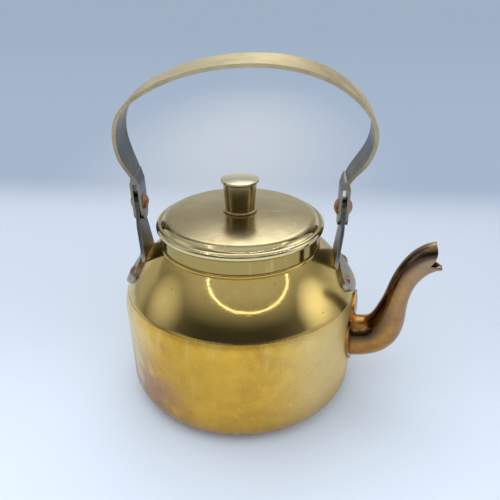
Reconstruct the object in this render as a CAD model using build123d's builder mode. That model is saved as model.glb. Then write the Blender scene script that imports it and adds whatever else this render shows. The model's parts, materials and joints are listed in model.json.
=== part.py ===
from build123d import *
from math import acos, asin, atan2, cos, degrees, hypot, radians, sin
import os

# A brass tea kettle: a raised pot with a domed shoulder and a low neck, a curved spout with a
# beaked mouth, a lift-off lid with a turned knob, and a strap handle whose forked ends swing on
# two riveted lugs. Millimetres, +Z up, the origin at the middle of the flat underside.
# +X is the side of the spout, and the handle stands in the XZ plane.

# Pot and shoulder, one smooth outline made of arcs that meet without a corner
wall_r = 75.0            # widest radius of the body
foot_in = 16.6           # edge of the flat underside, inside the widest radius
corner_r = 15.5          # rounding from the underside to the wall
round_r = 25.0           # rounding from the wall to the shoulder
round_z = 64.0           # height of that rounding's centre
dome_r = 80.0            # gentle curve of the shoulder's upper part
dome_angle = 28.2        # slope of the body's normal where that curve begins
seam_z = 74.0            # seam between the pot and the shoulder
sheet = 1.2              # brass sheet of pot, shoulder and neck
crease = 0.5             # small bevel of the pot's edge along the seam

# Neck
neck_r = 49.4            # outer radius of the neck's wall
neck_h = 10.8            # height of the neck over the shoulder
bead_r = 1.2             # section radius of the bead at the neck's foot

# Lid
rim_over = 2.85          # lid's rolled rim outside the neck
rim_bead = 2.3           # section radius of the rolled rim
lid_gap = 0.05           # rolled rim over the neck's rim
lid_sheet = 1.0          # sheet of the lid
lid_turn_in = 8.25       # place where the flat dome turns down, inside the rim
lid_turn_rise = 5.6      # height of that turn over the rim's centre
crown_rise = 7.8         # height of the lid's middle over the rim's centre
crown_sag = 0.5          # fall of the dome half way to the turn
flange_gap = 0.65        # lid's inner flange inside the neck, all round
flange_depth = 8.5       # reach of the flange below the neck's rim

# Knob
knob_foot_r = 9.0        # radius of the knob just over its ring
knob_neck_r = 10.3       # radius just under the knob's flared edge
knob_rim_r = 11.6        # radius of the flared edge
knob_h = 18.6            # height of the knob over its ring, without the domed top
knob_dome = 0.9          # height of the domed top
knob_lip = 1.1           # thickness of the flared edge
knob_flare = 1.2         # height in which the knob widens to that edge
ring_r = 10.6            # radius of the ring under the knob
ring_h = 1.5             # height of that ring
tenon_r = 3.0            # radius of the knob's tenon through the lid
tenon_head_r = 5.0       # radius of the tenon's spread end
tenon_head_h = 1.4       # height of the spread end

# Brackets for the handle
lug_in = 13.5            # foot of the lug, inside the body's widest radius
lug_lean = 1.5           # the lug's middle at the handle's axis, outside its foot
lug_sink = 4.0           # depth at which the lug's line begins under the shoulder
pivot_z = 127.0          # height of the handle's axis
plate_t = 2.3            # sheet of the brackets
seat_gap = 0.03          # soldered faces, plate over shoulder and flange over wall
plate_w = 42.0           # width of the oval base plate, round the shoulder
plate_h = 21.0           # height of the oval base plate, down the slope
plate_tuck = 0.8         # the lug's foot inside the plate's upper edge
lug_foot_w = 25.0        # width of the lug at its foot
lug_top_r = 6.0          # radius of the lug's rounded top
lug_straight = 13.5      # straight part of the lug under the pivot
lug_bend_r = 8.0         # rounding of the lug's bends
plate_rivet_s = 13.0     # plate rivets, to each side of the bracket's middle
plate_rivet_r = 2.0      # shank radius
plate_rivet_head = 3.7   # head radius
plate_rivet_rise = 1.5   # height of the domed head
rivet_fit = 0.04         # shank in its hole
bucktail_r = 3.0         # spread end inside the shoulder
bucktail_h = 1.1         # height of the spread end
tail_gap = 0.1           # spread ends under a curved sheet

# Handle
strap_w = 22.7           # width of the strap
strap_t = 2.2            # thickness of the strap
leaf_t = 1.6             # thickness of each leaf of the forked ends
leaf_gap = 0.35          # clearance between lug and leaf
fork_w = 12.6            # width of the forked ends
fork_over = 14.0         # depth of the fork over the pivot
fork_blend = 6.0         # height in which the fork thins down to the strap
strap_full = 32.0        # height over the pivot at which the strap has its full width
leaf_drop = 5.6          # centre of the leaf's rounded end below the pivot
rise = 87.3              # top of the strap's middle line over the pivot
arch_left = [(4.4, 26.5), (7.6, 40.0), (4.6, 57.1), (-13.3, 73.0)]      # outside and over the pivot
arch_right = [(-13.5, 80.2), (2.9, 69.5), (14.6, 50.6), (10.2, 31.5)]
strap_steps = 36         # steps in which the strap's inner face follows its outer one
lean = 6.4               # the handle stands tilted towards the front by this angle
pin_r = 2.6              # shank radius of the pivot rivets
pin_gap = 0.12           # pivot rivet in the lug
pin_head_r = 5.2         # head radius of the pivot rivets
pin_head_h = 2.6         # height of their domed heads

# Spout
spout_turn = -9.0        # angle of the spout round the pot from the handle's plane
spout_wall = 1.5         # wall of the spout
flange_t = 1.6           # thickness of the leaf-shaped flange
flange_bottom = 23.5     # height of the flange's lower tip
flange_top = 73.4        # height of the flange's upper tip
flange_wide_z = 55.0     # height of its widest place
flange_half_w = 21.5     # half its width there

os.makedirs("parts", exist_ok=True)

# The outline's arcs. The wall is the line that touches both roundings, and the shoulder's upper
# arc goes on from the rounding without a corner.
foot_r = wall_r - foot_in
round_c = (wall_r - round_r, round_z)
corner_c = (foot_r, corner_r)
run_r, run_z = round_c[0] - corner_c[0], round_c[1] - corner_c[1]
taper = acos((corner_r - round_r) / hypot(run_r, run_z)) - atan2(run_z, run_r)
dome_start = radians(dome_angle)
dome_more = dome_r - round_r
dome_c = (round_c[0] - dome_more * cos(dome_start), round_c[1] - dome_more * sin(dome_start))
seam_a = asin((seam_z - round_z) / round_r)


def at(centre, radius, angle):
    """A point of the section, by its arc."""
    return (centre[0] + radius * cos(angle), centre[1] + radius * sin(angle))


def arc(centre, radius, start, end):
    """An arc of the section between two angles."""
    return CenterArc(centre, radius, degrees(start), degrees(end - start))


def pot_line(inset):
    """The pot's line from the axis to the seam, moved inwards."""
    base = Line((0, inset), (foot_r, inset))
    corner = arc(corner_c, corner_r - inset, radians(-90), -taper)
    upper = arc(round_c, round_r - inset, -taper, seam_a)
    wall = Line(corner @ 1, upper @ 0)
    return base, corner, wall, upper


def dome_end(inset, radius):
    """The angle at which the shoulder's upper arc reaches a radius."""
    return acos((radius - dome_c[0]) / (dome_r - inset))


def shoulder_line(inset, start, radius):
    """The shoulder's line from an angle of its rounding up to a radius."""
    lower = arc(round_c, round_r - inset, start, dome_start)
    upper = arc(dome_c, dome_r - inset, dome_start, dome_end(inset, radius))
    return lower, upper


def shoulder_z(radius, inset=0.0):
    """Height of the shoulder's upper arc at a radius."""
    return at(dome_c, dome_r - inset, dome_end(inset, radius))[1]


def cap(radius, base, height):
    """The arc of a domed end, from its edge to the axis. A negative height points down."""
    ball = (radius**2 + height**2) / (2 * abs(height))
    edge = degrees(acos(radius / ball))
    if height > 0:
        return CenterArc((0, base + height - ball), ball, edge, 90 - edge)
    return CenterArc((0, base + height + ball), ball, -edge, edge - 90)


# Places that follow from the shoulder: the neck's rim, the lid's rim, the lugs and their plates
neck_top = shoulder_z(neck_r) + neck_h
rim_r = neck_r + rim_over
lid_turn_r = rim_r - lid_turn_in
lug_foot_r = wall_r - lug_in
pivot_x = lug_foot_r + lug_lean
plate_up = dome_end(0, lug_foot_r) - (plate_h / 2 - plate_tuck) / dome_r

# The space that the closed body fills, used to trim what is soldered to it
with BuildPart() as filled:
    with BuildSketch(Plane.XZ):
        with BuildLine():
            pot_line(-seat_gap)
            lines = shoulder_line(-seat_gap, seam_a, neck_r - sheet)
            Line(lines[1] @ 1, (0, (lines[1] @ 1).Y))
            Line((0, (lines[1] @ 1).Y), (0, -seat_gap))
        make_face()
    revolve(axis=Axis.Z)

# Spout. Each section is an oval across the curved middle line: its distance from the pot's widest
# radius, its height, the direction of the tube there, its half height and its half width.
spout_plane = Plane.XZ.rotated((0, 0, spout_turn))
spout_sections = [
    (-5.0, 41.6, 2, 13.9, 12.6),
    (2.0, 42.0, 4, 13.7, 12.4),
    (9.8, 43.6, 17, 13.1, 12.0),
    (16.4, 47.8, 42, 12.3, 11.3),
    (20.4, 54.6, 66, 11.0, 10.4),
    (22.3, 62.0, 79, 9.6, 9.3),
    (24.0, 70.5, 81, 8.0, 8.2),
    (26.1, 80.0, 76, 7.4, 7.4),
    (29.4, 89.4, 63, 7.6, 7.0),
    (34.2, 97.2, 45, 8.3, 6.9),
    (39.4, 102.2, 30, 8.9, 6.9),
    (45.0, 104.8, 18, 9.1, 6.9),
    (52.0, 106.5, 13, 9.1, 6.9),
]


def section_plane(section):
    """The plane across the spout at one section."""
    out, up, turn = wall_r + section[0], section[1], radians(section[2])
    along = spout_plane.x_dir * cos(turn) + Vector(0, 0, sin(turn))
    return Plane(origin=spout_plane.x_dir * out + Vector(0, 0, up), x_dir=spout_plane.z_dir, z_dir=along)


with BuildPart() as tube:
    for section in spout_sections:
        with BuildSketch(section_plane(section)):
            Ellipse(section[4], section[3])
    loft()

with BuildPart() as bore:
    for section in spout_sections:
        with BuildSketch(section_plane(section)):
            Ellipse(section[4] - spout_wall, section[3] - spout_wall)
    loft()

# The mouth is a beak: the upper jaw ends almost upright, a notch on each side runs back to a
# corner, and the lower lip reaches out under it like a trough.
notch = (40.7, 100.3)
upper_jaw = [(43.6, 105.2), (44.3, 109.4), (41.6, 115.0)]
lower_lip = [(49.2, 88.0), (48.6, 97.4)]
past_mouth = (65.0, 130.0)
with BuildPart() as beak_cut:
    with BuildSketch(Plane(spout_plane.x_dir * wall_r, x_dir=spout_plane.x_dir, z_dir=spout_plane.z_dir)):
        with BuildLine():
            Spline(notch, *upper_jaw)
            Polyline(upper_jaw[-1], (upper_jaw[-1][0], past_mouth[1]), past_mouth,
                     (past_mouth[0], lower_lip[0][1]), *lower_lip, notch)
        make_face()
    extrude(amount=wall_r, both=True)

with BuildPart() as spout:
    add(tube.part)
    add(bore.part, mode=Mode.SUBTRACT)
    add(filled.part, mode=Mode.SUBTRACT)
    add(beak_cut.part, mode=Mode.SUBTRACT)
spout.part.label = "spout"

# Leaf-shaped flange round the spout's foot, lying on the wall
spout_front = Plane(origin=(0, 0, 0), x_dir=-spout_plane.z_dir, z_dir=spout_plane.x_dir)
with BuildPart() as spout_flange:
    with BuildSketch(Plane.XZ):
        with BuildLine():
            outer = pot_line(-flange_t)
            inner = pot_line(-seat_gap)
            Line(outer[0] @ 0, inner[0] @ 0)
            Line(outer[3] @ 1, inner[3] @ 1)
        make_face()
    revolve(axis=Axis.Z)
    with BuildSketch(spout_front) as leaf:
        with BuildLine():
            wide = (flange_half_w, flange_wide_z)
            low = Spline((0, flange_bottom), wide, tangents=[(1.5, 0.6), (0, 1)], tangent_scalars=[1.2, 1])
            high = Spline(wide, (0, flange_top), tangents=[(0, 1), (-1, 0.35)])
            mirror(low, about=Plane.YZ)
            mirror(high, about=Plane.YZ)
        make_face()
    extrude(amount=2 * wall_r, mode=Mode.INTERSECT)
    add(tube.part, mode=Mode.SUBTRACT)
spout_flange.part.label = "spout_flange"

# Pot, raised in one piece with its underside, with the hole that the spout opens from
with BuildPart() as pot_body:
    with BuildSketch(Plane.XZ):
        with BuildLine():
            outer = pot_line(0)
            inner = pot_line(sheet)
            Line(outer[0] @ 0, inner[0] @ 0)
            Line(outer[3] @ 1, inner[3] @ 1)
        make_face()
    revolve(axis=Axis.Z)
    seam = pot_body.edges().filter_by(GeomType.CIRCLE).group_by(Axis.Z)[-1].sort_by(SortBy.RADIUS)[-1]
    chamfer(seam, crease)
    add(bore.part, mode=Mode.SUBTRACT)
pot_body.part.label = "pot_body"


# The plane on the shoulder at the middle of the right bracket's plate
plate_c = at(round_c, round_r, plate_up) if plate_up < dome_start else at(dome_c, dome_r, plate_up)
plate_plane = Plane(
    origin=(plate_c[0], 0, plate_c[1]), x_dir=(0, 1, 0), z_dir=(cos(plate_up), 0, sin(plate_up))
)


def plate_rivet_plane(side, turn):
    """The plane on the shoulder under one plate rivet, its axis square to the sheet."""
    swing = degrees(plate_rivet_s / plate_c[0]) * side + turn
    return Plane(
        origin=plate_plane.origin.rotate(Axis.Z, swing),
        x_dir=plate_plane.x_dir.rotate(Axis.Z, swing),
        z_dir=plate_plane.z_dir.rotate(Axis.Z, swing),
    )


rivet_planes = {turn: [plate_rivet_plane(side, turn) for side in (-1, 1)] for turn in (0, 180)}

# Shoulder, from the seam to the opening under the neck
with BuildPart() as shoulder:
    with BuildSketch(Plane.XZ):
        with BuildLine():
            outer = shoulder_line(0, seam_a, neck_r - sheet)
            inner = shoulder_line(sheet, seam_a, neck_r - sheet)
            Line(outer[0] @ 0, inner[0] @ 0)
            Line(outer[1] @ 1, inner[1] @ 1)
        make_face()
    revolve(axis=Axis.Z)
    with Locations(*rivet_planes[0], *rivet_planes[180]):
        Cylinder(plate_rivet_r + rivet_fit, 6 * sheet, mode=Mode.SUBTRACT)
shoulder.part.label = "shoulder"

# Neck, standing on the shoulder by its beaded foot
with BuildPart() as neck_collar:
    with BuildSketch(Plane.XZ):
        foot = shoulder_z(neck_r) - 2 * bead_r
        with BuildLine():
            Polyline(
                (neck_r - sheet, foot),
                (neck_r, foot),
                (neck_r, neck_top),
                (neck_r - sheet, neck_top),
                close=True,
            )
        make_face()
        with Locations((neck_r, shoulder_z(neck_r) + 0.75 * bead_r)):
            Circle(bead_r)
    revolve(axis=Axis.Z)
    add(filled.part, mode=Mode.SUBTRACT)
    rim = neck_collar.edges().filter_by(GeomType.CIRCLE).group_by(Axis.Z)[-1]
    fillet(rim, 0.3 * sheet)
neck_collar.part.label = "neck_collar"

# Lid: a spun dome with a rolled rim that lies on the neck's rim
bead_c = (rim_r - rim_bead, neck_top + lid_gap + rim_bead)
crown_z = bead_c[1] + crown_rise
turn_z = bead_c[1] + lid_turn_rise
with BuildPart() as lid_disc:
    with BuildSketch(Plane.XZ):
        with BuildLine():
            for down in (0, lid_sheet):
                middle = (0, crown_z - down)
                dome = ThreePointArc(
                    middle, (lid_turn_r / 2, crown_z - down - crown_sag), (lid_turn_r, turn_z - down)
                )
                turn = TangentArc(dome @ 1, (bead_c[0] - down, bead_c[1]), tangent=dome % 1)
            Line((0, crown_z), (0, crown_z - lid_sheet))
            Line(bead_c, turn @ 1)
        make_face()
        with Locations(bead_c):
            Circle(rim_bead)
    revolve(axis=Axis.Z)
    Cylinder(tenon_r + rivet_fit, 3 * crown_z, mode=Mode.SUBTRACT)
lid_disc.part.label = "lid_disc"

# The lid's inner flange, a ring that drops into the neck and is soldered under the dome
flange_r = neck_r - sheet - flange_gap
with BuildPart() as lid_flange:
    with BuildSketch(Plane.XZ):
        with BuildLine():
            middle = (0, crown_z - lid_sheet - seat_gap)
            dome = ThreePointArc(
                middle,
                (lid_turn_r / 2, middle[1] - crown_sag),
                (lid_turn_r, turn_z - lid_sheet - seat_gap),
            )
            turn = TangentArc(dome @ 1, (bead_c[0] - lid_sheet - seat_gap, bead_c[1]), tangent=dome % 1)
            Polyline(turn @ 1, (bead_c[0] - lid_sheet - seat_gap, neck_top - flange_depth),
                     (0, neck_top - flange_depth), middle)
        make_face()
        with Locations((0, neck_top)):
            Rectangle(2 * (flange_r - sheet), 8 * flange_depth, mode=Mode.SUBTRACT)
            Rectangle(2 * flange_r, 8 * flange_depth, mode=Mode.INTERSECT)
    revolve(axis=Axis.Z)
    add(lid_disc.part, mode=Mode.SUBTRACT)
lid_flange.part.label = "lid_flange"

# Ring under the knob
ring_z = crown_z + seat_gap
with BuildPart() as knob_base_ring:
    with BuildSketch(Plane.XY.offset(ring_z)):
        Circle(ring_r)
        Circle(tenon_r + rivet_fit, mode=Mode.SUBTRACT)
    extrude(amount=ring_h)
    fillet(knob_base_ring.edges().filter_by(GeomType.CIRCLE).group_by(SortBy.RADIUS)[-1], 0.45 * ring_h)
knob_base_ring.part.label = "knob_base_ring"

# Knob, turned in one piece with a tenon whose end is spread under the lid
knob_z = ring_z + ring_h
tenon_z = crown_z - lid_sheet - tail_gap - tenon_head_h
with BuildPart() as lid_knob:
    with BuildSketch(Plane.XZ):
        with BuildLine():
            Polyline(
                (0, tenon_z),
                (tenon_head_r, tenon_z),
                (tenon_head_r, tenon_z + tenon_head_h),
                (tenon_r, tenon_z + tenon_head_h),
                (tenon_r, knob_z),
                (knob_foot_r, knob_z),
                (knob_neck_r, knob_z + knob_h - knob_lip - knob_flare),
                (knob_rim_r, knob_z + knob_h - knob_lip),
                (knob_rim_r, knob_z + knob_h),
            )
            cap(knob_rim_r, knob_z + knob_h, knob_dome)
            Line((0, knob_z + knob_h + knob_dome), (0, tenon_z))
        make_face()
    revolve(axis=Axis.Z)
lid_knob.part.label = "lid_knob"


def rivet(plane, shank_r, grip, head_r, head_h, tail_r, tail_h):
    """A rivet through a sheet: domed head over the plane, shank, and a low spread end."""
    with BuildPart() as one:
        with BuildSketch(Plane.XZ):
            with BuildLine():
                Polyline((0, -grip - tail_h), (tail_r, -grip - tail_h), (tail_r, -grip), (shank_r, -grip),
                         (shank_r, 0), (head_r, 0))
                cap(head_r, 0, head_h)
                Line((0, head_h), (0, -grip - tail_h))
            make_face()
        revolve(axis=Axis.Z)
    return plane * one.part


# Brackets. Each is one bent sheet: an oval plate that lies on the shoulder and a lug that rises
# from the plate's upper edge and carries the handle's rivet.
with BuildPart() as bracket_right:
    with BuildSketch(Plane.XZ):
        with BuildLine():
            outer = shoulder_line(-plate_t, seam_a, neck_r)
            inner = shoulder_line(-seat_gap, seam_a, neck_r)
            Line(outer[0] @ 0, inner[0] @ 0)
            Line(outer[1] @ 1, inner[1] @ 1)
        make_face()
    revolve(axis=Axis.Z)
    with BuildSketch(plate_plane):
        Ellipse(plate_w / 2, plate_h / 2)
    extrude(amount=plate_h / 2, both=True, mode=Mode.INTERSECT)
    with BuildSketch(Plane.XZ):
        with BuildLine() as lug_path:
            FilletPolyline(
                (lug_foot_r - lug_lean, shoulder_z(lug_foot_r) - lug_sink),
                (pivot_x, pivot_z - lug_straight),
                (pivot_x, pivot_z + lug_top_r),
                radius=lug_bend_r,
            )
        trace(line_width=plate_t)
    extrude(amount=lug_foot_w / 2, both=True)
    add(filled.part, mode=Mode.SUBTRACT)
    with BuildSketch(Plane.YZ):
        with Locations((0, pivot_z)):
            Circle(lug_top_r)
        with BuildLine():
            foot_z = shoulder_z(lug_foot_r)
            Polyline((-lug_top_r, pivot_z), (lug_top_r, pivot_z), (lug_foot_w / 2, foot_z),
                     (plate_w, foot_z), (plate_w, seam_z), (-plate_w, seam_z), (-plate_w, foot_z),
                     (-lug_foot_w / 2, foot_z), close=True)
        make_face()
    extrude(amount=2 * wall_r, mode=Mode.INTERSECT)
    with Locations(Plane.YZ.offset(pivot_x).location * Location((0, pivot_z, 0))):
        Cylinder(pin_r + pin_gap, 4 * plate_t, mode=Mode.SUBTRACT)
    with Locations(*rivet_planes[0]):
        Cylinder(plate_rivet_r + rivet_fit, 6 * plate_t, mode=Mode.SUBTRACT)
bracket_right.part.label = "bracket_right"

with BuildPart() as bracket_left:
    add(bracket_right.part.rotate(Axis.Z, 180))
bracket_left.part.label = "bracket_left"

# Plate rivets, two to a bracket, spread inside the shoulder
for turn, side in ((0, "right"), (180, "left")):
    pair = [
        rivet(
            plane.offset(plate_t),
            plate_rivet_r,
            plate_t + sheet + tail_gap,
            plate_rivet_head,
            plate_rivet_rise,
            bucktail_r,
            bucktail_h,
        )
        for plane in rivet_planes[turn]
    ]
    with BuildPart() as plate_rivets:
        add(pair)
    plate_rivets.part.label = "bracket_rivets_" + side
    export_step(plate_rivets.part, "parts/bracket_rivets_" + side + ".step")

# Handle: one strap, bent to an arch and forked at both ends round the lugs
fork_t = plate_t + 2 * (leaf_gap + leaf_t)
slot_t = plate_t + 2 * leaf_gap
fork_top = pivot_z + fork_over
leaf_r = fork_w / 2
arch = [(-pivot_x - x, z) for x, z in arch_left] + [(0.0, rise)] + [(pivot_x + x, z) for x, z in arch_right]
with BuildPart() as handle:
    with BuildSketch(Plane.XZ):
        with BuildLine():
            points = [(x, pivot_z + z) for x, z in arch]
            points = [(-pivot_x - strap_t / 2, fork_top)] + points + [(pivot_x + strap_t / 2, fork_top)]
            outer = Spline(*points, tangents=[(0.1, 1), (-0.1, -1)])
            shares = [i / strap_steps for i in range(strap_steps + 1)]
            inside = [outer @ s + (outer % s).rotate(Axis.Z, -90) * strap_t for s in shares]
            inner = Spline(*inside)
            Line(outer @ 0, inner @ 0)
            Line(outer @ 1, inner @ 1)
        make_face()
        for side in (-1, 1):
            low = pivot_z - leaf_r - leaf_drop
            with BuildLine():
                Polyline(
                    (side * (pivot_x - fork_t / 2), low),
                    (side * (pivot_x - fork_t / 2), fork_top),
                    (side * (pivot_x - strap_t / 2), fork_top + fork_blend),
                    (side * (pivot_x + strap_t / 2), fork_top + fork_blend),
                    (side * (pivot_x + fork_t / 2), fork_top),
                    (side * (pivot_x + fork_t / 2), low),
                    close=True,
                )
            make_face()
            with Locations((side * pivot_x, (low + fork_top) / 2)):
                Rectangle(slot_t, fork_top - low, mode=Mode.SUBTRACT)
    extrude(amount=strap_w / 2, both=True)
    with BuildSketch(Plane.YZ):
        with Locations((0, pivot_z - leaf_drop)):
            Circle(leaf_r)
        with BuildLine():
            Polyline((-leaf_r, pivot_z - leaf_drop), (-leaf_r, fork_top),
                     (-strap_w / 2, pivot_z + strap_full), (-strap_w / 2, pivot_z + 2 * rise),
                     (strap_w / 2, pivot_z + 2 * rise), (strap_w / 2, pivot_z + strap_full),
                     (leaf_r, fork_top), (leaf_r, pivot_z - leaf_drop), close=True)
        make_face()
    extrude(amount=2 * wall_r, both=True, mode=Mode.INTERSECT)
    with Locations(Plane.YZ.location * Location((0, pivot_z, 0))):
        Cylinder(pin_r + rivet_fit, 4 * wall_r, mode=Mode.SUBTRACT)
tilt = Axis((0, 0, pivot_z), (1, 0, 0))
handle_part = handle.part.rotate(tilt, lean)
handle_part.label = "handle"

# Pivot rivets, one through each fork and lug
pivot_rivets = {}
for side, name in ((1, "right"), (-1, "left")):
    plane = Plane(
        origin=(side * (pivot_x + fork_t / 2), 0, pivot_z), x_dir=(0, 1, 0), z_dir=(side, 0, 0)
    )
    with BuildPart() as pin:
        with BuildSketch(Plane.XZ):
            with BuildLine():
                Polyline((pin_head_r, 0), (pin_r, 0), (pin_r, -fork_t), (pin_head_r, -fork_t))
                cap(pin_head_r, 0, pin_head_h)
                cap(pin_head_r, -fork_t, -pin_head_h)
                Line((0, pin_head_h), (0, -fork_t - pin_head_h))
            make_face()
        revolve(axis=Axis.Z)
    pivot_rivets[name] = plane * pin.part
    pivot_rivets[name].label = "pivot_rivet_" + name
    export_step(pivot_rivets[name], "parts/pivot_rivet_" + name + ".step")

export_step(handle_part, "parts/handle.step")
export_step(pot_body.part, "parts/pot_body.step")
export_step(shoulder.part, "parts/shoulder.step")
export_step(neck_collar.part, "parts/neck_collar.step")
export_step(spout.part, "parts/spout.step")
export_step(spout_flange.part, "parts/spout_flange.step")
export_step(bracket_right.part, "parts/bracket_right.step")
export_step(bracket_left.part, "parts/bracket_left.step")
export_step(lid_disc.part, "parts/lid_disc.step")
export_step(lid_flange.part, "parts/lid_flange.step")
export_step(knob_base_ring.part, "parts/knob_base_ring.step")
export_step(lid_knob.part, "parts/lid_knob.step")
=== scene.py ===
import bpy
import json
import math
from mathutils import Matrix, Vector


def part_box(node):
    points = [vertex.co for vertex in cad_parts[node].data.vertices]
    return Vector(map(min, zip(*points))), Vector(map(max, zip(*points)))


# An aged brass tea kettle on a pale table in front of a pale blue-grey sweep, under soft studio
# light. Metres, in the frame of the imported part: X towards the spout, Y away from the camera, Z up.

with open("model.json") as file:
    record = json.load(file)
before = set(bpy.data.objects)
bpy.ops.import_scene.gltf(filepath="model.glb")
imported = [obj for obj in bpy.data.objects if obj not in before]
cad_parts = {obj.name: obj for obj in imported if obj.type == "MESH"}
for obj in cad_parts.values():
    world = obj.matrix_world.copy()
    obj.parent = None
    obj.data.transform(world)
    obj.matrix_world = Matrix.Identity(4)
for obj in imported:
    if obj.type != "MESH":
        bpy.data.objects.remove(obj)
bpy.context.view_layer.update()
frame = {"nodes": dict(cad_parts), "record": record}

# Camera, fitted to the photograph: place in metres, turn, tilt and roll in radians, and the lens in
# millimetres on a 36 mm frame
CAMERA_PLACE = Vector((0.0319, -0.3146, 0.2544))
CAMERA_TURN = 0.082
CAMERA_DOWN = 0.467
CAMERA_ROLL = -0.003
CAMERA_LENS = 39.65

camera_data = bpy.data.cameras.new("camera")
camera_data.sensor_width = 36.0
camera_data.lens = CAMERA_LENS
camera_data.clip_start = 0.01
camera = bpy.data.objects.new("camera", camera_data)
camera.matrix_world = (
    Matrix.Translation(CAMERA_PLACE)
    @ Matrix.Rotation(CAMERA_TURN, 4, "Z")
    @ Matrix.Rotation(math.pi / 2 - CAMERA_DOWN, 4, "X")
    @ Matrix.Rotation(CAMERA_ROLL, 4, "Z")
)
bpy.context.collection.objects.link(camera)
bpy.context.scene.camera = camera
bpy.context.scene.view_settings.view_transform = "Standard"

# Places that the finishes follow, from the part itself
SEAM_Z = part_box("shoulder")[0][2]
NECK_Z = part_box("shoulder")[1][2]
RIM_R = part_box("lid_disc")[1][0]
WALL_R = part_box("pot_body")[1][0]
PIVOT_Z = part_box("pivot_rivet_left")[0][2] / 2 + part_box("pivot_rivet_left")[1][2] / 2
HANDLE_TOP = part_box("handle")[1][2]
SPOUT_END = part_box("spout")[1][0]

# Colours of the stains
OLIVE_GOLD = (0.70, 0.52, 0.19)        # shoulder
NECK_SHADE_OLIVE = (0.35, 0.255, 0.08)       # painted shade on the neck, which mirrors the darker shoulder under the lid's rim
PALE_SIDE_REFLECTION = (0.90, 0.72, 0.36)         # painted reflection of the bright floor, left and right of the wall
STREAK_GOLD = (0.86, 0.64, 0.26)       # streaks down the wall
AMBER = (0.50, 0.29, 0.05)             # upper left of the wall
RED_BROWN = (0.36, 0.18, 0.11)         # low on the left
PLUM_BROWN = (0.36, 0.20, 0.16)        # left edge of the wall
FOOT_SHADE_BROWN = (0.34, 0.19, 0.06)        # painted shade at the wall's foot, next to the floor
LID_BROWN = (0.50, 0.36, 0.18)         # lid round the knob
RIM_GOLD = (0.78, 0.66, 0.36)          # lid's rolled rim
KNOB_TOP_HIGHLIGHT = (1.0, 0.88, 0.60)           # painted highlight on the knob's top
MOUTH_GREY = (0.34, 0.26, 0.19)        # spout towards the mouth
FLANK_REFLECTION_BROWN = (0.10, 0.070, 0.050)      # painted dark reflection of the room on the spout's upper flanks
DARK_GREY = (0.115, 0.115, 0.115)      # handle's inside
FORK_GREY = (0.17, 0.17, 0.165)        # handle's forks
CREST_HIGHLIGHT = (1.0, 0.84, 0.48)         # painted highlight on the top of the handle
CUT_BROWN = (0.24, 0.20, 0.13)         # strap's cut edges
PLATE_TAN = (0.56, 0.46, 0.30)         # brackets' plates
LUG_DARK_REFLECTION = (0.070, 0.080, 0.083)      # painted dark reflection on the brackets' lugs


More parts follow.
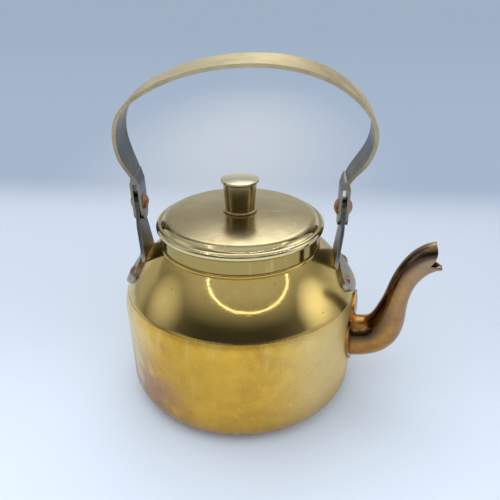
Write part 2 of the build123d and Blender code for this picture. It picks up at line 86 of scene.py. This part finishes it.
class Nodes:
    """Short calls for one node tree, of a material or of the world."""

    def __init__(self, owner, shader="ShaderNodeBsdfPrincipled", output="ShaderNodeOutputMaterial",
                 place="Object"):
        self.owner = owner
        owner.use_nodes = True
        self.tree = owner.node_tree
        self.tree.nodes.clear()
        self.shader = self.add(shader)
        self.out = self.add(output)
        self.tree.links.new(self.shader.outputs[0], self.out.inputs[0])
        self.place = self.add("ShaderNodeTexCoord").outputs[place]

    def add(self, kind, **settings):
        node = self.tree.nodes.new(kind)
        for key, value in settings.items():
            setattr(node, key, value)
        return node

    def put(self, socket, value):
        """Link a socket to a socket, or set a plain value on it. None leaves it alone."""
        if isinstance(value, bpy.types.NodeSocket):
            self.tree.links.new(value, socket)
        elif value is not None:
            socket.default_value = value

    def stretched(self, scale, turn=(0, 0, 0)):
        """The place, turned and scaled. A small scale draws noise out along that axis."""
        node = self.add("ShaderNodeMapping")
        self.put(node.inputs["Vector"], self.place)
        node.inputs["Scale"].default_value = scale
        node.inputs["Rotation"].default_value = turn
        return node.outputs[0]

    def noise(self, size, detail=4.0, rough=0.55, vector=None, twist=0.0):
        """Soft noise with features of about that size in metres."""
        node = self.add("ShaderNodeTexNoise")
        self.put(node.inputs["Vector"], vector or self.place)
        node.inputs["Scale"].default_value = 1.0 / size
        node.inputs["Detail"].default_value = detail
        node.inputs["Roughness"].default_value = rough
        node.inputs["Distortion"].default_value = twist
        return node.outputs["Fac"]

    def spots(self, size, low, high):
        """Small round spots: 1 in a spot, 0 elsewhere."""
        node = self.add("ShaderNodeTexVoronoi")
        self.put(node.inputs["Vector"], self.place)
        node.inputs["Scale"].default_value = 1.0 / size
        return self.ramp(node.outputs["Distance"], low, high, 1.0, 0.0)

    def ramp(self, value, low, high, at_low=0.0, at_high=1.0):
        """A smooth step from at_low, where the value is low, to at_high, where it is high."""
        node = self.add("ShaderNodeMapRange", interpolation_type="SMOOTHSTEP")
        self.put(node.inputs["Value"], value)
        node.inputs["From Min"].default_value = low
        node.inputs["From Max"].default_value = high
        node.inputs["To Min"].default_value = at_low
        node.inputs["To Max"].default_value = at_high
        return node.outputs["Result"]

    def fall(self, value, low, high):
        """A smooth step from 1, where the value is low, to 0, where it is high."""
        return self.ramp(value, low, high, 1.0, 0.0)

    def math(self, operation, a, b=None):
        node = self.add("ShaderNodeMath", operation=operation)
        for socket, value in zip(node.inputs, (a, b)):
            self.put(socket, value)
        return node.outputs[0]

    def times(self, *values):
        total = values[0]
        for value in values[1:]:
            total = self.math("MULTIPLY", total, value)
        return total

    def plus(self, *values):
        total = values[0]
        for value in values[1:]:
            total = self.math("ADD", total, value)
        return total

    def most(self, *values):
        total = values[0]
        for value in values[1:]:
            total = self.math("MAXIMUM", total, value)
        return total

    def outside(self, share):
        """1 where a share is 0, and 0 where it is 1."""
        return self.math("SUBTRACT", 1.0, share)

    def mix(self, share, a, b):
        """Colour a where share is 0 and b where it is 1."""
        node = self.add("ShaderNodeMix", data_type="RGBA")
        self.put(node.inputs["Factor"], share)
        for name, value in (("A", a), ("B", b)):
            socket = [s for s in node.inputs if s.name == name and s.type == "RGBA"][0]
            self.put(socket, (*value, 1.0) if isinstance(value, tuple) else value)
        return [s for s in node.outputs if s.type == "RGBA"][0]

    def axis(self, which):
        node = self.add("ShaderNodeSeparateXYZ")
        self.put(node.inputs[0], self.place)
        return node.outputs[which]

    def radius(self):
        """Distance from the kettle's axis."""
        x, y = self.axis("X"), self.axis("Y")
        return self.math("SQRT", self.plus(self.times(x, x), self.times(y, y)))

    def near(self, place, reach, soft=0.5, vector=None):
        """1 close to a place, falling to 0 at reach metres from it in the outer soft share."""
        node = self.add("ShaderNodeVectorMath", operation="DISTANCE")
        self.put(node.inputs[0], vector or self.place)
        node.inputs[1].default_value = place
        return self.fall(node.outputs["Value"], reach * (1 - soft), reach)

    def facing(self, centre):
        """Above 0 on faces that look away from a place, below 0 on those that look towards it."""
        away = self.add("ShaderNodeVectorMath", operation="SUBTRACT")
        self.put(away.inputs[0], self.place)
        away.inputs[1].default_value = centre
        unit = self.add("ShaderNodeVectorMath", operation="NORMALIZE")
        self.put(unit.inputs[0], away.outputs[0])
        dot = self.add("ShaderNodeVectorMath", operation="DOT_PRODUCT")
        self.put(dot.inputs[0], unit.outputs[0])
        self.put(dot.inputs[1], self.add("ShaderNodeTexCoord").outputs["Normal"])
        return dot.outputs["Value"]

    def facing_along(self, which):
        """The part of the face's direction that lies along one axis."""
        node = self.add("ShaderNodeSeparateXYZ")
        self.put(node.inputs[0], self.add("ShaderNodeTexCoord").outputs["Normal"])
        return node.outputs[which]

    def edge(self, width=0.0010, low=0.03, high=0.22):
        """1 along sharp outer edges, where polish and wear brighten the metal."""
        bevel = self.add("ShaderNodeBevel", samples=6)
        bevel.inputs["Radius"].default_value = width
        plain = self.add("ShaderNodeNewGeometry").outputs["Normal"]
        dot = self.add("ShaderNodeVectorMath", operation="DOT_PRODUCT")
        self.put(dot.inputs[0], bevel.outputs[0])
        self.put(dot.inputs[1], plain)
        return self.ramp(self.outside(dot.outputs["Value"]), low, high)

    def bump(self, *layers):
        """Layers are (height, depth in metres) pairs."""
        normal = None
        for height, depth in layers:
            node = self.add("ShaderNodeBump")
            node.inputs["Distance"].default_value = depth
            self.put(node.inputs["Height"], height)
            self.put(node.inputs["Normal"], normal)
            normal = node.outputs[0]
        self.put(self.shader.inputs["Normal"], normal)


def shade(colour, factor):
    return tuple(min(1.0, c * factor) for c in colour)


class Metal(Nodes):
    """Aged metal, made in steps: mottled colour, tarnish, pits, scratches, wear and soft dents."""

    CLOUD_SIZE = 0.030          # clouds of tarnish
    BLOTCH_SIZE = 0.010         # blotches in colour and gloss
    DENT_SIZE = 0.030           # soft dents
    DENT_DEPTH = 0.00022
    SCRATCH_DEPTH = 0.000008
    SCRATCH_STRETCH = 0.030     # width of a scratch over its length

    def __init__(self, name, bright, worn, dark, rough, tarnish=0.35):
        super().__init__(bpy.data.materials.new(name))
        self.bright, self.dark = bright, dark
        clouds = self.ramp(self.noise(self.CLOUD_SIZE, 6.0, 0.6, twist=0.6), 0.42, 0.70)
        blotch = self.noise(self.BLOTCH_SIZE, 5.0, 0.62)
        self.colour = self.mix(self.ramp(blotch, 0.35, 0.7), bright, worn)
        self.colour = self.mix(self.times(clouds, tarnish), self.colour, dark)
        blotch_rough = self.ramp(blotch, 0.25, 0.8, rough * 0.85, rough * 1.25)
        self.finish = self.plus(blotch_rough, self.times(clouds, 0.08 * tarnish))
        self.layers = [(self.noise(self.DENT_SIZE, 2.0, 0.4), self.DENT_DEPTH)]

    def stain(self, share, colour):
        """Another colour where share is 1."""
        self.colour = self.mix(share, self.colour, colour)

    def gloss(self, share, rough):
        """Another roughness where share is 1."""
        self.finish = self.plus(
            self.times(self.finish, self.outside(share)), self.times(share, rough)
        )

    def pits(self, strength=0.8, size=0.0052):
        """Small dark pits, in patches."""
        where = self.ramp(self.noise(0.024, 2.0), 0.53, 0.60)
        speck = self.times(self.spots(size, 0.045, 0.10), where)
        self.stain(self.times(speck, strength), shade(self.dark, 0.3))
        self.finish = self.plus(self.finish, self.times(speck, 0.3))

    def scratches(self, strength=0.3):
        """Fine bright scratches in two directions, in patches."""
        along_x = self.stretched((self.SCRATCH_STRETCH, 1.0, 1.0), (0.3, 0.5, 0.9))
        along_y = self.stretched((1.0, self.SCRATCH_STRETCH, 0.8), (0.9, 0.2, 0.4))
        one = self.ramp(self.noise(0.00085, 2.0, 0.5, vector=along_x), 0.70, 0.77)
        two = self.ramp(self.noise(0.00075, 2.0, 0.5, vector=along_y), 0.71, 0.78)
        patch = self.ramp(self.noise(0.022, 2.0), 0.46, 0.62)
        lines = self.times(self.most(one, two), patch)
        self.stain(self.times(lines, strength), shade(self.bright, 1.3))
        self.finish = self.plus(self.finish, self.times(lines, 0.15))
        self.layers.append((lines, -self.SCRATCH_DEPTH))

    def brushed(self, stretch, depth=0.000008, size=0.0015):
        """Fine polishing lines, drawn out along the axes whose stretch is small."""
        self.layers.append((self.noise(size, 3.0, 0.6, vector=self.stretched(stretch)), depth))

    def spun(self, depth=0.000006, size=0.0007):
        """Fine rings about the kettle's axis."""
        ring = self.add("ShaderNodeCombineXYZ")
        self.put(ring.inputs[0], self.radius())
        lines = self.noise(size, 2.0, 0.5, vector=ring.outputs[0])
        self.layers.append((lines, depth))
        self.stain(self.times(self.ramp(lines, 0.5, 0.75), 0.16), self.dark)

    def worn_edges(self, strength=0.4):
        self.stain(self.times(self.edge(), strength), shade(self.bright, 1.15))

    def done(self):
        self.put(self.shader.inputs["Base Color"], self.colour)
        self.shader.inputs["Metallic"].default_value = 1.0
        self.put(self.shader.inputs["Roughness"], self.finish)
        self.bump(*self.layers)
        return self.owner


def body_brass():
    """Deep gold wall, a greyer and glossier shoulder, brown tarnish low on the left."""
    m = Metal(
        "aged_brass",
        bright=(0.80, 0.47, 0.065),
        worn=(0.68, 0.38, 0.05),
        dark=(0.42, 0.23, 0.06),
        rough=0.25,
    )
    x, z = m.axis("X"), m.axis("Z")

    shoulder = m.ramp(z, SEAM_Z - 0.0002, SEAM_Z + 0.0006)
    m.stain(m.times(shoulder, 0.85), OLIVE_GOLD)
    m.gloss(shoulder, 0.095)
    m.gloss(m.times(shoulder, m.ramp(x, WALL_R - 0.039, WALL_R - 0.017)), 0.24)
    # Painted shade on the neck, which mirrors the darker shoulder.
    neck_shade = m.ramp(z, NECK_Z - 0.0005, NECK_Z + 0.0015)
    m.stain(m.times(neck_shade, 0.85), NECK_SHADE_OLIVE)

    wall = m.outside(shoulder)
    # Painted reflection of the bright floor at the wall's left and right.
    right_reflection = m.ramp(x, WALL_R - 0.060, WALL_R - 0.013)
    left_reflection = m.fall(x, -WALL_R + 0.009, -WALL_R + 0.035)
    m.stain(m.times(m.most(right_reflection, left_reflection), wall, 0.6), PALE_SIDE_REFLECTION)
    m.gloss(m.times(m.ramp(x, WALL_R - 0.030, WALL_R - 0.013), wall), 0.45)
    streaks = m.noise(0.006, 4.0, 0.6, vector=m.stretched((1.0, 1.0, 0.12)))
    m.stain(m.times(m.ramp(streaks, 0.55, 0.72), 0.35), STREAK_GOLD)
    upper_left = m.near((-0.022, 0.005 - WALL_R, 0.050), 0.040, 0.9)
    m.stain(m.times(upper_left, 0.45), AMBER)
    low_left = m.near((-0.048, 0.025 - WALL_R, 0.018), 0.048, 0.9)
    patchy = m.ramp(m.noise(0.012, 4.0), 0.30, 0.6)
    m.stain(m.times(low_left, patchy, 0.85), RED_BROWN)
    left_edge = m.near((0.007 - WALL_R, -0.022, 0.022), 0.030, 0.9)
    m.stain(m.times(left_edge, 0.6), PLUM_BROWN)
    # Painted shade towards the wall's foot, where it mirrors the kettle's shadow on the floor.
    foot_shade = m.fall(z, 0.002, 0.030)
    m.stain(m.times(foot_shade, 0.6), FOOT_SHADE_BROWN)

    m.pits()
    m.scratches(0.35)
    m.worn_edges(0.3)
    m.brushed((0.05, 0.05, 1.4), 0.000006)
    return m.done()


def lid_brass():
    """Satin dome with fine turned rings, browner round the knob, and a polished rolled rim."""
    m = Metal(
        "satin_brass",
        bright=(0.70, 0.57, 0.32),
        worn=(0.62, 0.49, 0.26),
        dark=(0.40, 0.31, 0.19),
        rough=0.21,
    )
    m.spun()
    round_knob = m.fall(m.radius(), 0.012, 0.030)
    m.stain(m.times(round_knob, 0.35), LID_BROWN)
    rim = m.ramp(m.radius(), RIM_R - 0.0058, RIM_R - 0.0048)
    m.stain(m.times(rim, 0.8), RIM_GOLD)
    m.gloss(rim, 0.13)
    m.pits(0.7, 0.0065)
    m.scratches(0.2)
    return m.done()


def knob_brass():
    """Turned and dark at the side, with a painted highlight where the face looks up."""
    m = Metal(
        "turned_brass",
        bright=(0.40, 0.315, 0.155),
        worn=(0.30, 0.235, 0.11),
        dark=(0.16, 0.125, 0.06),
        rough=0.20,
    )
    # Painted highlight where the face looks up.
    lit_top = m.ramp(m.facing_along("Z"), 0.7, 0.95)
    m.stain(m.times(lit_top, 0.95), KNOB_TOP_HIGHLIGHT)
    m.brushed((0.05, 0.05, 1.6))
    m.scratches(0.2)
    m.worn_edges(0.5)
    return m.done()


def spout_brass():
    """Warm brown brass, greyer towards the mouth, with a painted dark reflection of the room on its
    upper flanks.
    """
    m = Metal(
        "warm_brass",
        bright=(0.52, 0.25, 0.055),
        worn=(0.36, 0.165, 0.045),
        dark=(0.16, 0.09, 0.05),
        rough=0.17,
        tarnish=0.5,
    )
    tip = m.ramp(m.axis("X"), SPOUT_END - 0.034, SPOUT_END - 0.012)
    m.stain(m.times(tip, 0.6), MOUTH_GREY)
    # Painted dark reflection of the room along the upper flanks.
    up = m.facing_along("Z")
    dark_reflection_band = m.times(m.ramp(up, 0.02, 0.26), m.fall(up, 0.50, 0.85))
    m.stain(m.times(dark_reflection_band, 0.8), FLANK_REFLECTION_BROWN)
    m.pits(0.5)
    m.scratches(0.25)
    m.worn_edges(0.5)
    return m.done()


def handle_brass():
    """Golden outside with a painted highlight along its highest part, grey and dull inside and
    towards the forks.
    """
    m = Metal(
        "worn_brass",
        bright=(0.84, 0.66, 0.34),
        worn=(0.70, 0.53, 0.26),
        dark=(0.38, 0.31, 0.20),
        rough=0.33,
        tarnish=0.45,
    )
    inside = m.fall(m.facing((0.0, 0.0, PIVOT_Z + 0.03)), -0.5, 0.1)
    m.stain(m.times(inside, 0.92), DARK_GREY)
    forks = m.fall(m.axis("Z"), PIVOT_Z + 0.012, PIVOT_Z + 0.055)
    m.stain(m.times(forks, 0.8), FORK_GREY)
    # Painted highlight along the top of the handle.
    lit_crest = m.near((-0.005, 0.0, HANDLE_TOP), 0.055, 0.8)
    m.stain(m.times(lit_crest, m.outside(inside), 0.9), CREST_HIGHLIGHT)
    cut_edge = m.ramp(m.math("ABSOLUTE", m.facing_along("Y")), 0.70, 0.95)
    m.stain(m.times(cut_edge, 0.65), CUT_BROWN)
    m.brushed((1.2, 0.08, 1.2), 0.000006, 0.0012)
    m.pits(0.6, 0.004)
    m.scratches(0.3)
    return m.done()


def bracket_brass():
    """Dull brass, warm on the plate, with a painted dark reflection that makes the lug nearly black.
    """
    m = Metal(
        "tarnished_brass",
        bright=(0.42, 0.37, 0.30),
        worn=(0.32, 0.28, 0.23),
        dark=(0.14, 0.13, 0.11),
        rough=0.32,
        tarnish=0.6,
    )
    lug = m.ramp(m.axis("Z"), 0.090, 0.100)
    m.stain(m.times(m.outside(lug), 0.55), PLATE_TAN)
    # Painted dark reflection on the lug.
    m.stain(m.times(lug, 0.88), LUG_DARK_REFLECTION)
    m.pits(0.6, 0.004)
    m.scratches(0.4)
    m.worn_edges(0.55)
    return m.done()


def rivet_copper():
    m = Metal(
        "old_copper",
        bright=(0.55, 0.30, 0.21),
        worn=(0.40, 0.21, 0.15),
        dark=(0.17, 0.10, 0.08),
        rough=0.30,
        tarnish=0.6,
    )
    m.scratches(0.4)
    m.worn_edges(0.4)
    return m.done()


finishes = {
    "brass_body": body_brass(),
    "brass_lid": lid_brass(),
    "brass_knob": knob_brass(),
    "brass_spout": spout_brass(),
    "brass_handle": handle_brass(),
    "brass_dull": bracket_brass(),
    "copper_rivet": rivet_copper(),
}

slots = {row["node"]: row["material_slot"] for row in frame["record"]["subparts"]}
for node_name, thing in frame["nodes"].items():
    thing.data.materials.clear()
    thing.data.materials.append(finishes[slots[node_name]])

# Floor, which turns into a blue-grey sweep behind the kettle. Near by it is matt and takes shadows.
# Far off it shines by itself for the camera and for reflections, as a lit backdrop would.
FLOOR_SIZE = 12.0
FLOOR_DROP = 0.0002                       # keeps the floor clear of the kettle's underside
FLOOR_COLOUR = (0.66, 0.73, 0.84)
FLOOR_MOTTLE_SIZE, FLOOR_MOTTLE = 0.35, 0.97
FLOOR_BACK_START, FLOOR_BACK_END = -0.13, 0.12
FLOOR_BACK_SHADE = 0.80                         # painted shade: the floor darker beside and behind the kettle, where less light falls
FLOOR_GLOW = 0.10                         # own light of the near floor
SWEEP_START, SWEEP_END = 0.21, 0.40
SWEEP_NEAR = (0.385, 0.475, 0.610)
SWEEP_FAR = (0.350, 0.440, 0.555)
SWEEP_FAR_Y = 2.5
SWEEP_GLOW = (0.57, 0.63, 0.70)           # painted pool of light on the sweep behind the kettle
SWEEP_GLOW_PLACE = (-0.14, 0.58, 0.0)     # in the squeezed place below
SWEEP_GLOW_REACH, SWEEP_GLOW_SOFT = 0.66, 0.95
SWEEP_GLOW_SQUEEZE = (2.4, 1.0, 1.0)      # makes the spot narrower than deep

half = FLOOR_SIZE / 2
floor_mesh = bpy.data.meshes.new("floor")
floor_mesh.from_pydata(
    [(-half, -half, 0), (half, -half, 0), (half, half, 0), (-half, half, 0)], [], [(0, 1, 2, 3)]
)
floor = bpy.data.objects.new("floor", floor_mesh)
floor.location = (0, 0, -FLOOR_DROP)
bpy.context.collection.objects.link(floor)


def floor_paint():
    paint = Nodes(bpy.data.materials.new("floor_paint"))
    depth = paint.axis("Y")

    mottle = paint.ramp(paint.noise(FLOOR_MOTTLE_SIZE, 3.0), 0.3, 0.7)
    table = paint.mix(mottle, FLOOR_COLOUR, shade(FLOOR_COLOUR, FLOOR_MOTTLE))
    # Painted shade, darker beside and behind the kettle.
    back_shade = paint.ramp(depth, FLOOR_BACK_START, FLOOR_BACK_END)
    table = paint.mix(back_shade, table, shade(FLOOR_COLOUR, FLOOR_BACK_SHADE))
    paint.put(paint.shader.inputs["Base Color"], table)
    paint.shader.inputs["Roughness"].default_value = 0.7

    sweep = paint.mix(paint.ramp(depth, SWEEP_END, SWEEP_FAR_Y), SWEEP_NEAR, SWEEP_FAR)
    squeezed = paint.stretched(SWEEP_GLOW_SQUEEZE)
    # Painted pool of light on the sweep behind the kettle.
    spot = paint.near(SWEEP_GLOW_PLACE, SWEEP_GLOW_REACH, SWEEP_GLOW_SOFT, squeezed)
    sweep = paint.mix(spot, sweep, SWEEP_GLOW)
    sweep_share = paint.ramp(depth, SWEEP_START, SWEEP_END)
    glow = paint.add("ShaderNodeEmission")
    paint.put(glow.inputs["Color"], paint.mix(sweep_share, FLOOR_COLOUR, sweep))

    ray = paint.add("ShaderNodeLightPath")
    seen = paint.most(ray.outputs["Is Camera Ray"], ray.outputs["Is Glossy Ray"])
    both = paint.add("ShaderNodeMixShader")
    paint.put(both.inputs[0], paint.times(paint.most(sweep_share, FLOOR_GLOW), seen))
    paint.put(both.inputs[1], paint.shader.outputs[0])
    paint.put(both.inputs[2], glow.outputs[0])
    paint.put(paint.out.inputs[0], both.outputs[0])
    return paint.owner


floor_mesh.materials.append(floor_paint())

# The room's light by direction, a unit vector: X to the right, Y away from the camera, Z up. It is
# pale low down all round, dark higher up in front, where the photographer stands, with bright
# windows at both sides, a bright panel high behind and a soft ceiling.
ROOM_COLOUR = (0.92, 0.97, 1.0, 1.0)
CEILING_HEIGHT, CEILING_LEVEL = (0.42, 0.90), 0.44
AROUND_DEPTH, FRONT_LEVEL, AROUND_LEVEL = (-0.85, -0.30), 0.050, 0.15
HORIZON_HEIGHT, HORIZON_LEVEL = (0.14, 0.27), 0.70
HORIZON_DEPTH, HORIZON_FRONT = (0.10, 0.60), 0.75    # share of that light in front and beside
HORIZON_SIDE, HORIZON_LEFT = (-0.97, -0.70), 0.45    # share of it at the far left
BEHIND_DEPTH = (0.0, 0.40)
BEHIND_HEIGHT, BEHIND_LOW, BEHIND_HIGH = (0.30, 0.39), 0.38, 0.17
BACK_PANEL = {"place": (0.03, 0.64, 0.77), "reach": 0.44, "soft": 0.5, "level": 2.2}
LEFT_WINDOW = {"place": (-0.92, -0.10, 0.38), "reach": 0.60, "soft": 0.9, "level": 0.75}
RIGHT_WINDOW = {"place": (0.93, 0.03, 0.36), "reach": 0.52, "soft": 0.85, "level": 1.5}


def room_light():
    world = bpy.data.worlds.new("studio")
    bpy.context.scene.world = world
    sky = Nodes(world, "ShaderNodeBackground", "ShaderNodeOutputWorld", "Generated")
    side, depth, height = sky.axis("X"), sky.axis("Y"), sky.axis("Z")

    ceiling = sky.ramp(height, *CEILING_HEIGHT, 0.0, CEILING_LEVEL)
    around = sky.ramp(depth, *AROUND_DEPTH, FRONT_LEVEL, AROUND_LEVEL)
    behind = sky.times(
        sky.ramp(depth, *BEHIND_DEPTH), sky.ramp(height, *BEHIND_HEIGHT, BEHIND_LOW, BEHIND_HIGH)
    )
    level = sky.plus(ceiling, around, behind)
    horizon = sky.times(
        sky.ramp(height, *HORIZON_HEIGHT, HORIZON_LEVEL, 0.0),
        sky.ramp(depth, *HORIZON_DEPTH, HORIZON_FRONT, 1.0),
        sky.ramp(side, *HORIZON_SIDE, HORIZON_LEFT, 1.0),
    )
    level = sky.most(level, horizon)
    for patch in (BACK_PANEL, LEFT_WINDOW, RIGHT_WINDOW):
        shape = sky.near(patch["place"], patch["reach"], patch["soft"])
        level = sky.most(level, sky.times(shape, patch["level"]))
    sky.shader.inputs["Color"].default_value = ROOM_COLOUR
    sky.put(sky.shader.inputs["Strength"], level)


room_light()

# Lamps, all turned towards the middle of the kettle's body
AIM = Vector((0, 0, 0.05))


def lamp(name, kind, place, watts, colour, mirrored=True, **settings):
    """A lamp that the camera doesn't see. One that isn't mirrored leaves no highlight either."""
    data = bpy.data.lights.new(name, kind)
    data.energy = watts
    data.color = colour
    for key, value in settings.items():
        setattr(data, key, value)
    thing = bpy.data.objects.new(name, data)
    thing.location = place
    thing.rotation_euler = (AIM - Vector(place)).to_track_quat("-Z", "Y").to_euler()
    thing.visible_camera = False
    thing.visible_glossy = mirrored
    bpy.context.collection.objects.link(thing)


lamp("key", "AREA", (-0.40, 0.0, 1.0), 9.0, (0.98, 0.99, 1.0), mirrored=False, size=1.5)
lamp("fill", "AREA", (0.40, -0.75, 0.7), 7.0, (0.95, 0.98, 1.0), mirrored=False, size=1.4)

# A ring lamp of small bulbs over the photographer, mirrored in the shoulder
RING_PLACE = Vector((0.080, -0.175, 0.500))
RING_R = 0.295
BULBS = 56
BULB_WATTS = 0.017
BULB_R = 0.005
BULB_COLOUR = (1.0, 0.97, 0.90)
for bulb in range(BULBS):
    angle = 2 * math.pi * bulb / BULBS
    spot = RING_PLACE + RING_R * Vector((math.cos(angle), math.sin(angle), 0))
    lamp("bulb_%d" % bulb, "POINT", spot, BULB_WATTS, BULB_COLOUR, shadow_soft_size=BULB_R)
